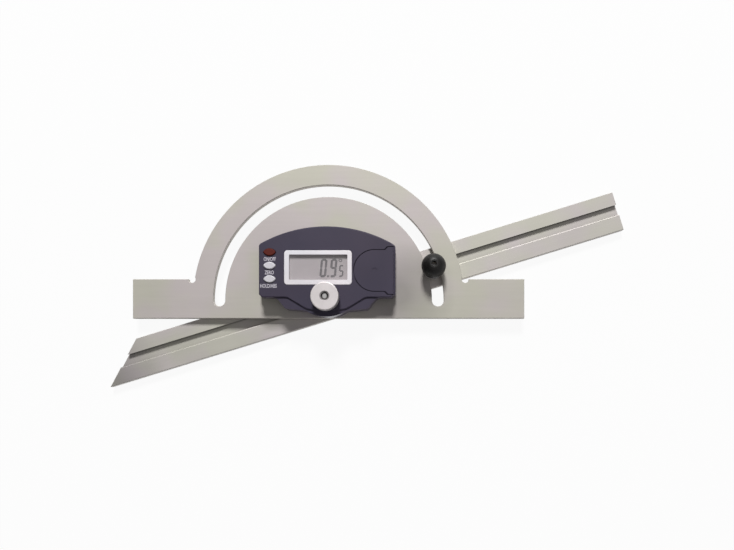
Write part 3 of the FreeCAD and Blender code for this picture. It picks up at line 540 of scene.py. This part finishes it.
def add_figure(shape, figure, centre, wide, high, stroke, slant):
    """A slanted seven-bar figure with its lit bars."""
    side = (wide - stroke) / 2
    half = (high - stroke) / 2
    gap = stroke * 0.14
    flat = 2 * side - gap
    tall = half - gap
    bars = {
        "a": (flat, 0, half, False), "g": (flat, 0, 0, False), "d": (flat, 0, -half, False),
        "f": (tall, -side, half / 2, True), "b": (tall, side, half / 2, True),
        "e": (tall, -side, -half / 2, True), "c": (tall, side, -half / 2, True),
    }
    made = []
    for name in LIT_BARS[figure]:
        length, across, along, upright = bars[name]
        made += add_bar(shape, length, stroke, across, along, upright)
    lean = Matrix.Identity(4)
    lean[0][1] = math.tan(slant)
    bmesh.ops.transform(shape, matrix=Matrix.Translation(centre) @ lean, verts=made)


def add_ring(shape, centre, outer, inner):
    """Flat ring, as the degree sign is."""
    made = bmesh.ops.create_circle(shape, segments=24, radius=outer)["verts"]
    hole = bmesh.ops.create_circle(shape, segments=24, radius=inner)["verts"]
    rims = list({edge for corner in made + hole for edge in corner.link_edges})
    bmesh.ops.bridge_loops(shape, edges=rims)
    bmesh.ops.translate(shape, verts=made + hole, vec=centre)


def thicken(shape, height):
    """Gives flat faces a thickness upwards."""
    made = bmesh.ops.extrude_face_region(shape, geom=list(shape.faces), use_keep_orig=True)
    raised = [item for item in made["geom"] if isinstance(item, bmesh.types.BMVert)]
    bmesh.ops.translate(shape, verts=raised, vec=(0, 0, height))


def reading(size):
    """Figures, decimal point and degree sign on the display glass."""
    low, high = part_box("display_bezel")
    width, tall = high.x - low.x, high.y - low.y
    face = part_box("lcd_panel")[1].z

    def spot(across, along):
        return (low.x + width * across, low.y + tall * along, 0)

    shape = bmesh.new()
    big = size.figure_height
    lean = size.slant
    for figure, across in LARGE_FIGURES:
        add_figure(shape, figure, spot(across, LARGE_LEVEL), big * LARGE_WIDTH, big, size.stroke, lean)
    add_figure(shape, "5", spot(*SMALL_FIGURE_PLACE), big * SMALL_WIDTH, big * SMALL_HEIGHT,
               size.stroke * SMALL_STROKE, lean)
    point = bmesh.ops.create_circle(
        shape, segments=20, radius=size.stroke * POINT_RADIUS, cap_ends=True)["verts"]
    bmesh.ops.translate(shape, verts=point, vec=spot(*POINT_PLACE))
    add_ring(shape, spot(*DEGREE_PLACE), *(size.stroke * share for share in DEGREE_RADII))
    thicken(shape, size.ink_height)
    bmesh.ops.translate(shape, verts=shape.verts, vec=(0, 0, face))
    return shape


def legend(words, centre, width, height, thickness):
    """Flat lettering that fills a box, as a bmesh."""
    curve = bpy.data.curves.new("lettering", "FONT")
    curve.body = words
    curve.align_x = "CENTER"
    curve.align_y = "CENTER"
    curve.offset = 0.02
    curve.resolution_u = 4
    holder = bpy.data.objects.new("lettering", curve)
    bpy.context.scene.collection.objects.link(holder)
    bpy.context.view_layer.update()
    mesh = bpy.data.meshes.new_from_object(holder)
    bpy.data.objects.remove(holder)
    bpy.data.curves.remove(curve)
    shape = bmesh.new()
    shape.from_mesh(mesh)
    bpy.data.meshes.remove(mesh)
    bmesh.ops.remove_doubles(shape, verts=shape.verts, dist=1e-5)
    across = [corner.co.x for corner in shape.verts]
    along = [corner.co.y for corner in shape.verts]
    offset = ((max(across) + min(across)) / 2, (max(along) + min(along)) / 2, 0)
    scale = (width / (max(across) - min(across)), height / (max(along) - min(along)), 1)
    bmesh.ops.translate(shape, verts=shape.verts, vec=-Vector(offset))
    bmesh.ops.scale(shape, verts=shape.verts, vec=scale)
    thicken(shape, thickness)
    bmesh.ops.translate(shape, verts=shape.verts, vec=centre)
    return shape


# ---- settings ----

class ProtractorMetals(bpy.types.PropertyGroup):
    """Colours of the metal pieces."""
    plate: bpy.props.FloatVectorProperty(
        name="Plate", description="Ground steel of the stock plate", subtype="COLOR",
        min=0, max=1, default=(0.55, 0.519, 0.482))
    blade: bpy.props.FloatVectorProperty(
        name="Blade", description="Ground steel of the blade", subtype="COLOR",
        min=0, max=1, default=(0.57, 0.54, 0.51))
    bolt: bpy.props.FloatVectorProperty(
        name="Bolts", description="Bright steel of bolts, washers and screws", subtype="COLOR",
        min=0, max=1, default=(0.85, 0.83, 0.82))
    nut: bpy.props.FloatVectorProperty(
        name="Nut", description="Satin nickel of the clamp nut", subtype="COLOR",
        min=0, max=1, default=(0.82, 0.765, 0.765))
    plate_roughness: bpy.props.FloatProperty(
        name="Plate roughness", description="How dull the ground plate is", subtype="FACTOR",
        min=0.1, max=1, default=0.66)
    blade_roughness: bpy.props.FloatProperty(
        name="Blade roughness", description="How dull the ground blade is", subtype="FACTOR",
        min=0.1, max=1, default=0.62)
    grain_depth: bpy.props.FloatProperty(
        name="Grain depth", description="Height of the grinding lines", subtype="DISTANCE", unit="LENGTH",
        min=0, max=0.0001, default=0.00002)


class ProtractorHousing(bpy.types.PropertyGroup):
    """Colours of the display housing."""
    housing: bpy.props.FloatVectorProperty(
        name="Housing", description="Dark violet-grey plastic of the housing", subtype="COLOR",
        min=0, max=1, default=shade(66, 59, 75))
    bezel: bpy.props.FloatVectorProperty(
        name="Display frame", description="White plastic round the display", subtype="COLOR",
        min=0, max=1, default=shade(240, 232, 235))
    display: bpy.props.FloatVectorProperty(
        name="Display", description="Grey of the display glass", subtype="COLOR",
        min=0, max=1, default=shade(166, 156, 159))
    ink: bpy.props.FloatVectorProperty(
        name="Figures", description="Dark bars of the reading", subtype="COLOR",
        min=0, max=1, default=shade(62, 50, 58))
    red_key: bpy.props.FloatVectorProperty(
        name="Power key", description="Red rubber of the power key", subtype="COLOR",
        min=0, max=1, default=shade(94, 34, 26))
    white_key: bpy.props.FloatVectorProperty(
        name="Other keys", description="White rubber of the other keys", subtype="COLOR",
        min=0, max=1, default=shade(216, 209, 214))
    lettering: bpy.props.FloatVectorProperty(
        name="Lettering", description="Printed white of the key legends", subtype="COLOR",
        min=0, max=1, default=shade(200, 195, 204))


class ProtractorReading(bpy.types.PropertyGroup):
    """Size of the reading on the display."""
    figure_height: bpy.props.FloatProperty(
        name="Figure height", description="Height of the large figures", subtype="DISTANCE", unit="LENGTH",
        min=0.004, max=0.012, default=0.0101)
    stroke: bpy.props.FloatProperty(
        name="Stroke", description="Width of a bar of the large figures", subtype="DISTANCE", unit="LENGTH",
        min=0.0002, max=0.002, default=0.00122)
    slant: bpy.props.FloatProperty(
        name="Slant", description="How far the figures lean", subtype="ANGLE", unit="ROTATION",
        min=0, max=0.4, default=math.radians(5.5))
    ink_height: bpy.props.FloatProperty(
        name="Ink height", description="Thickness of the bars on the glass",
        subtype="DISTANCE", unit="LENGTH", min=0.00001, max=0.00008, default=0.00003)


class ProtractorLegends(bpy.types.PropertyGroup):
    """Size of the words printed by the keys."""
    height: bpy.props.FloatProperty(
        name="Height", description="Height of the capitals", subtype="DISTANCE", unit="LENGTH",
        min=0.001, max=0.004, default=0.0021)
    drop: bpy.props.FloatProperty(
        name="Drop", description="How far each word stands below the middle of its key",
        subtype="DISTANCE", unit="LENGTH", min=0.003, max=0.005, default=0.0037)
    thickness: bpy.props.FloatProperty(
        name="Thickness", description="Thickness of the print", subtype="DISTANCE", unit="LENGTH",
        min=0.00001, max=0.0001, default=0.00003)


class ProtractorNut(bpy.types.PropertyGroup):
    """Shape of the clamp nut."""
    grooves: bpy.props.IntProperty(
        name="Grooves", description="Number of grooves round the rim", min=24, max=160, default=96)
    groove_depth: bpy.props.FloatProperty(
        name="Groove depth", description="Depth of a groove of the rim", subtype="DISTANCE", unit="LENGTH",
        min=0, max=0.0005, default=0.00022)
    edge: bpy.props.FloatProperty(
        name="Edge", description="Width of the eased edges", subtype="DISTANCE", unit="LENGTH",
        min=0.0001, max=0.001, default=0.0004)
    bore: bpy.props.FloatProperty(
        name="Thread", description="Radius of the thread", subtype="DISTANCE", unit="LENGTH",
        min=0.001, max=0.003, default=0.00205)
    sink: bpy.props.FloatProperty(
        name="Countersink", description="Outer radius of the countersink", subtype="DISTANCE", unit="LENGTH",
        min=0.002, max=0.004, default=0.0026)


class ProtractorKnob(bpy.types.PropertyGroup):
    """Colours of the lock knob."""
    knob: bpy.props.FloatVectorProperty(
        name="Knob", description="Black plastic of the ball knob", subtype="COLOR",
        min=0, max=1, default=(0.005, 0.0042, 0.0042))


class ProtractorStage(bpy.types.PropertyGroup):
    """Studio round the object."""
    sky: bpy.props.FloatProperty(
        name="Sky", description="Brightness of the bright side of the surroundings",
        min=0, max=2, default=0.5)
    dusk: bpy.props.FloatProperty(
        name="Dusk", description="Brightness of the far side of the surroundings",
        min=0, max=2, default=0.0)
    key_power: bpy.props.FloatProperty(
        name="Key lamp", description="Power of the large lamp behind the arc", subtype="POWER", unit="POWER",
        min=0, max=100, default=48)
    camera_place: bpy.props.FloatVectorProperty(
        name="Camera", description="Place of the camera, which looks straight down", subtype="TRANSLATION",
        unit="LENGTH", default=(0.0431, -0.0455, 0.3271))


# ---- operators ----

def settings(name):
    """One of the scene's setting groups."""
    return getattr(bpy.context.scene, f"protractor_{name}")


class PROTRACTOR_OT_metals(bpy.types.Operator):
    """Finishes the plate, the blade, the bolts and the other metal pieces"""
    bl_idname = "protractor.metals"
    bl_label = "Metal pieces"

    def execute(self, context):
        metals = settings("metals")
        tip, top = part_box("blade")
        origin = (0, 0, 0)
        paint_nodes("ground_steel", rolled_steel(
            "plate_steel", metals.plate, 0.0, metals.plate_roughness, metals.grain_depth,
            PLATE_SIDES_LIGHT, (PLATE_SHADE_CENTRE, *PLATE_PAINTED_SHADE)))
        paint_nodes("blade_steel", rolled_steel(
            "blade_steel", metals.blade, blade_angle(), metals.blade_roughness, metals.grain_depth,
            BLADE_SIDES_LIGHT, (tip, *TIP_PAINTED_SHADE), (*GROOVE_SIDES, top.z - GROOVE_SHADE_DEPTH)))
        paint_nodes("bolt_steel", turned_metal(
            "bolt_steel", metals.bolt, origin, 0.36, 0.00016, grime_and_shade=[BOLT_GRIME_AND_SHADE]))
        paint_nodes("bronze", turned_metal("bush_bronze", BRONZE, origin, 0.4, 0.0002))
        paint_nodes("brass", turned_metal("insert_brass", BRASS, middle("knob_insert"), 0.35, 0.0002))
        paint_nodes("contact_metal", dull("contact_nickel", CONTACT_NICKEL, 0.32, 2400, 1.0))
        paint_nodes("cell_can", turned_metal("cell_steel", CELL_STEEL, middle("coin_cell"), 0.28, 0.0003))
        return {"FINISHED"}


class PROTRACTOR_OT_housing(bpy.types.Operator):
    """Finishes the housing, the display and the keys"""
    bl_idname = "protractor.housing"
    bl_label = "Display housing"

    def execute(self, context):
        colours = settings("housing")
        paint_nodes("housing_plastic", moulded(
            "housing_plastic", colours.housing, 0.52, 2600, 0.00003, gloss=0.3, polish_and_side_light=0.28))
        paint_nodes("bezel_white", moulded("bezel_plastic", colours.bezel, 0.34, 1700, 0.000008))
        paint_nodes("lcd_grey", liquid_crystal("display_glass", colours.display))
        paint_nodes("clear_window", clear_plastic("display_window"))
        paint_nodes("key_red", moulded("red_key_rubber", colours.red_key, 0.6, 1500, 0.00001, gloss=0.2))
        paint_nodes("key_white", moulded("white_key_rubber", colours.white_key, 0.45, 1500, 0.00001))
        return {"FINISHED"}


class PROTRACTOR_OT_inner_parts(bpy.types.Operator):
    """Finishes the boards and connectors inside the housing"""
    bl_idname = "protractor.inner_parts"
    bl_label = "Inner parts"

    def execute(self, context):
        paint_nodes("circuit_green", printed_board("main_board", BOARD_GREEN))
        paint_nodes("sensor_board", printed_board("sensor_board", SENSOR_BROWN))
        paint_nodes("chip_black", dull("chip_epoxy", CHIP_BLACK, 0.55, 1900))
        paint_nodes("connector_rubber", dull("strip_rubber", STRIP_PINK, 0.7, 1300))
        return {"FINISHED"}


class PROTRACTOR_OT_lock_knob(bpy.types.Operator):
    """Finishes the ball knob on the arc"""
    bl_idname = "protractor.lock_knob"
    bl_label = "Lock knob"

    def execute(self, context):
        paint_nodes("knob_black", rubber_knob("knob_phenolic", settings("knob").knob))
        return {"FINISHED"}


class PROTRACTOR_OT_clamp_nut(bpy.types.Operator):
    """Builds the thumb nut on the pivot"""
    bl_idname = "protractor.clamp_nut"
    bl_label = "Clamp nut"

    def execute(self, context):
        size = settings("nut")
        rim = reach("clamp_nut")
        # Soiling with painted shade: the nut's countersink and its knurled rim are darker.
        metal = turned_metal(
            "nut_nickel", settings("metals").nut, middle("clamp_nut"), 0.45, 0.00022, metallic=0.4,
            grime_and_shade=[(0.0, size.sink, NUT_GRIME_AND_SHADE), (rim - NUT_RIM_GRIME_AND_SHADE_WIDTH, 2 * rim, NUT_GRIME_AND_SHADE)])
        paint_nodes("nut_metal", metal)
        nut = new_piece("thumb_nut", knurled_nut(size), metal, "clamp_nut")
        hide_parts("clamp_nut")
        return {"FINISHED"}


class PROTRACTOR_OT_reading(bpy.types.Operator):
    """Puts the reading on the display"""
    bl_idname = "protractor.reading"
    bl_label = "Display reading"

    def execute(self, context):
        ink = dull("display_ink", settings("housing").ink, 0.5, 900)
        new_piece("display_reading", reading(settings("reading")), ink, "frame")
        return {"FINISHED"}


class PROTRACTOR_OT_legends(bpy.types.Operator):
    """Prints the words by the three keys"""
    bl_idname = "protractor.legends"
    bl_label = "Key legends"

    def execute(self, context):
        size = settings("legends")
        print_white = dull("legend_print", settings("housing").lettering, 0.55, 2200)
        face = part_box("case_front")[1].z
        for node, (words, width, aside) in LEGENDS.items():
            key = middle(node)
            centre = (key.x + aside, key.y - size.drop, face)
            shape = legend(words, centre, width * size.height, size.height, size.thickness)
            new_piece(f"legend_{node.split('_')[0]}", shape, print_white, "frame")
        return {"FINISHED"}


class PROTRACTOR_OT_stage(bpy.types.Operator):
    """Sets up the floor, the surroundings, the lamp and the camera"""
    bl_idname = "protractor.stage"
    bl_label = "Studio"

    def execute(self, context):
        size = settings("stage")
        make_floor()
        make_surroundings(size)
        make_lamp("key_lamp", LAMP_PLACE, LAMP_TARGET, LAMP_SIZE, size.key_power)
        make_camera(size.camera_place)
        context.scene.view_settings.view_transform = "Standard"
        return {"FINISHED"}


def make_floor():
    """Pale floor that looks white and keeps the object's shadow."""
    shape = bmesh.new()
    bmesh.ops.create_grid(shape, x_segments=1, y_segments=1, size=FLOOR_SIZE)
    bmesh.ops.translate(shape, verts=shape.verts, vec=(0, 0, FLOOR_LEVEL))
    mesh = bpy.data.meshes.new("floor")
    shape.to_mesh(mesh)
    shape.free()
    floor = bpy.data.objects.new("floor", mesh)
    bpy.context.scene.collection.objects.link(floor)
    paper = Finish("floor_paper")
    path = paper.node("ShaderNodeLightPath", output="Is Camera Ray")
    glossy = paper.node("ShaderNodeLightPath", output="Is Glossy Ray")
    clear = paper.node("ShaderNodeLightPath", output="Is Transmission Ray")
    seen = paper.node("ShaderNodeMath", {"operation": "MINIMUM"}, {0: path + glossy + clear, 1: 1.0})
    lit = paper.node("ShaderNodeBsdfDiffuse", {}, {"Color": grey(FLOOR_GREY)})
    bright = paper.node("ShaderNodeEmission", {}, {"Color": grey(1), "Strength": 1.0})
    mixed = paper.node("ShaderNodeMixShader", {}, {0: seen * FLOOR_GLOW, 1: lit, 2: bright})
    paper.node("ShaderNodeOutputMaterial", {}, {"Surface": mixed})
    mesh.materials.append(paper.material)


def make_surroundings(size):
    """White to look at; as light, brightest behind and to the right of the object."""
    world = bpy.data.worlds.new("studio")
    bpy.context.scene.world = world
    world.use_nodes = True
    sky = Nodes(world.node_tree)
    way = sky.node("ShaderNodeTexCoord", output="Generated")
    facing = sky.node("ShaderNodeVectorMath", {"operation": "DOT_PRODUCT"}, {
        0: way, 1: BRIGHT_WAY}, "Value")
    level = sky.spread(facing, 0.3, 1.0, size.dusk, size.sky)
    seen = sky.node("ShaderNodeLightPath", output="Is Camera Ray")
    strength = level * (1.0 - seen) + seen
    back = sky.node("ShaderNodeBackground", {}, {"Color": grey(1), "Strength": strength})
    sky.node("ShaderNodeOutputWorld", {}, {"Surface": back})


def make_lamp(name, place, target, size, power):
    """Large soft lamp that looks at a target."""
    data = bpy.data.lights.new(name, "AREA")
    data.shape = "RECTANGLE"
    data.size, data.size_y = size
    data.energy = power
    lamp = bpy.data.objects.new(name, data)
    bpy.context.scene.collection.objects.link(lamp)
    lamp.location = place
    lamp.rotation_euler = (Vector(target) - Vector(place)).to_track_quat("-Z", "Y").to_euler()


def make_camera(place):
    """Camera that looks straight down, with the object's place in the picture set by its shift."""
    data = bpy.data.cameras.new("camera")
    data.sensor_width = SENSOR_WIDTH
    data.lens = LENS
    data.shift_x, data.shift_y = LENS_SHIFT
    data.clip_start = 0.01
    data.clip_end = 10
    camera = bpy.data.objects.new("camera", data)
    bpy.context.scene.collection.objects.link(camera)
    camera.location = place
    bpy.context.scene.camera = camera


class PROTRACTOR_PT_panel(bpy.types.Panel):
    """Sidebar panel with the protractor's pieces and their settings"""
    bl_idname = "PROTRACTOR_PT_panel"
    bl_label = "Bevel protractor"
    bl_space_type = "VIEW_3D"
    bl_region_type = "UI"
    bl_category = "Protractor"

    def draw(self, context):
        for name, group in SETTINGS.items():
            box = self.layout.box()
            for step in STEPS:
                if step.bl_idname in OF_GROUP[name]:
                    box.operator(step.bl_idname)
            for item in group.__annotations__:
                box.prop(settings(name), item)


SETTINGS = {
    "metals": ProtractorMetals,
    "housing": ProtractorHousing,
    "reading": ProtractorReading,
    "legends": ProtractorLegends,
    "nut": ProtractorNut,
    "knob": ProtractorKnob,
    "stage": ProtractorStage,
}
OF_GROUP = {
    "metals": ("protractor.metals",),
    "housing": ("protractor.housing", "protractor.inner_parts"),
    "reading": ("protractor.reading",),
    "legends": ("protractor.legends",),
    "nut": ("protractor.clamp_nut",),
    "knob": ("protractor.lock_knob",),
    "stage": ("protractor.stage",),
}
STEPS = (
    PROTRACTOR_OT_metals,
    PROTRACTOR_OT_housing,
    PROTRACTOR_OT_inner_parts,
    PROTRACTOR_OT_lock_knob,
    PROTRACTOR_OT_clamp_nut,
    PROTRACTOR_OT_reading,
    PROTRACTOR_OT_legends,
    PROTRACTOR_OT_stage,
)


def register():
    for group in (*SETTINGS.values(), *STEPS, PROTRACTOR_PT_panel):
        bpy.utils.register_class(group)
    for name, group in SETTINGS.items():
        setattr(bpy.types.Scene, f"protractor_{name}", bpy.props.PointerProperty(type=group))


def unregister():
    for name in SETTINGS:
        delattr(bpy.types.Scene, f"protractor_{name}")
    for group in reversed((*SETTINGS.values(), *STEPS, PROTRACTOR_PT_panel)):
        bpy.utils.unregister_class(group)


def main():
    """Builds every piece and the studio."""
    register()
    for step in STEPS:
        getattr(bpy.ops.protractor, step.bl_idname.split(".")[1])()


if __name__ == "__main__":
    main()
